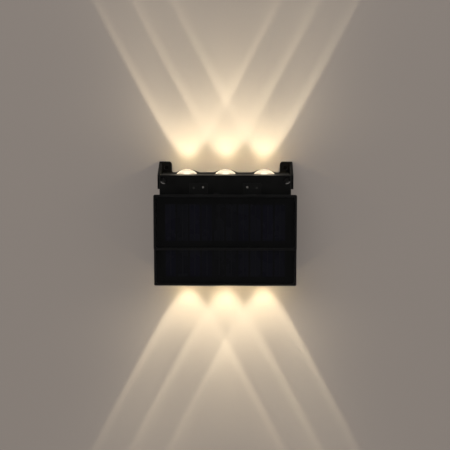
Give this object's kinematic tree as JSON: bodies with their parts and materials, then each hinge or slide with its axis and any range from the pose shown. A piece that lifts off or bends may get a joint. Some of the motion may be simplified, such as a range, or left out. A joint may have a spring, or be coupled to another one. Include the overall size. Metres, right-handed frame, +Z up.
{
  "type": "solar wall light",
  "caption": "Black wall light that shines up and down through domed lenses, charged by a fixed solar panel and a second one that folds up on hinges.",
  "frame": {"origin": "on the wall, midway between the two ear holes that the light hangs from", "axes": "+X along the wall to the right as seen from the front, +Y into the wall, +Z up"},
  "size_m": [0.1436, 0.0459, 0.1233],
  "materials": {
    "housing_plastic": "black moulded ABS with a fine spark texture",
    "panel_frame_plastic": "black ABS, satin, with rounded polished edges",
    "hinge_metal": "black painted die casting",
    "hinge_pin_steel": "plain steel",
    "nickel_screw": "bright nickel plate",
    "dark_screw": "black zinc plate",
    "inner_screw": "zinc plate",
    "lens_clear": "clear polycarbonate, lit warm white from below",
    "sealant": "cured silicone",
    "seal_rubber": "silicone rubber",
    "button_plastic": "satin black",
    "switch_plastic": "moulded",
    "led_board_white": "white solder mask on a metal core",
    "led_phosphor": "phosphor-filled resin that glows warm white",
    "circuit_board": "green solder mask",
    "chip_black": "moulded resin",
    "capacitor_can": "bare can",
    "socket_plastic": "natural nylon",
    "battery_wrap": null,
    "tab_metal": "nickel strip",
    "clamp_plastic": "moulded",
    "lead_jacket": "soft black jacket",
    "panel_laminate": "black laminate",
    "solar_cell": "blue-black silicon",
    "busbar_metal": "thin tinned strip",
    "panel_glazing": "clear sheet, glossy"
  },
  "bodies": {
    "housing": {"rear_shell": "housing_plastic", "front_cover": "housing_plastic", "lower_panel_tray": "panel_frame_plastic", "hinge_bracket_left": "hinge_metal", "hinge_bracket_right": "hinge_metal", "hinge_locating_pins": "hinge_metal", "hinge_pin_left": "hinge_pin_steel", "hinge_pin_right": "hinge_pin_steel", "hinge_screws": "nickel_screw", "case_screws": "dark_screw", "led_board_screws": "inner_screw", "battery_clamp_screws": "inner_screw", "board_screws": "inner_screw", "lower_panel_screws": "inner_screw", "lens_plate_top": "lens_clear", "lens_plate_bottom": "lens_clear", "lens_seal_top": "sealant", "lens_seal_bottom": "sealant", "lower_lead_seal": "sealant", "panel_lead_seal": "sealant", "housing_gasket": "seal_rubber", "button_seal": "seal_rubber", "switch_body": "switch_plastic", "led_board_top": "led_board_white", "led_board_bottom": "led_board_white", "led_chips_top": "led_phosphor", "led_chips_bottom": "led_phosphor", "control_board": "circuit_board", "controller_chip": "chip_black", "board_inductor": "chip_black", "board_capacitors": "capacitor_can", "board_sockets": "socket_plastic", "lead_plugs": "socket_plastic", "battery_cell": "battery_wrap", "battery_tabs": "tab_metal", "battery_clamp": "clamp_plastic", "led_lead_top": "lead_jacket", "led_lead_bottom": "lead_jacket", "lower_panel_lead": "lead_jacket", "panel_lead_tail": "lead_jacket", "battery_leads": "lead_jacket", "lower_panel_laminate": "panel_laminate", "lower_panel_cells": "solar_cell", "lower_panel_busbars": "busbar_metal", "lower_panel_cover": "panel_glazing"},
    "flap": {"upper_panel_tray": "panel_frame_plastic", "upper_panel_laminate": "panel_laminate", "upper_panel_cells": "solar_cell", "upper_panel_busbars": "busbar_metal", "upper_panel_cover": "panel_glazing", "upper_panel_junction": "panel_frame_plastic", "upper_panel_lead": "lead_jacket"},
    "button": {"power_button": "button_plastic", "switch_plunger": "switch_plastic"}
  },
  "joints": [
    {"name": "flap_hinge", "type": "hinge", "parent": "housing", "child": "flap", "pos_m": [0, -0.0404, -0.0262], "axis": [-1, 0, 0], "range_deg": [0, 90]},
    {"name": "button_press", "type": "slide", "parent": "housing", "child": "button", "axis": [0, -1, 0], "range_m": [0, 0.0015], "stiffness_N_per_m": 1000, "springref_m": -0.0005}
  ]
}
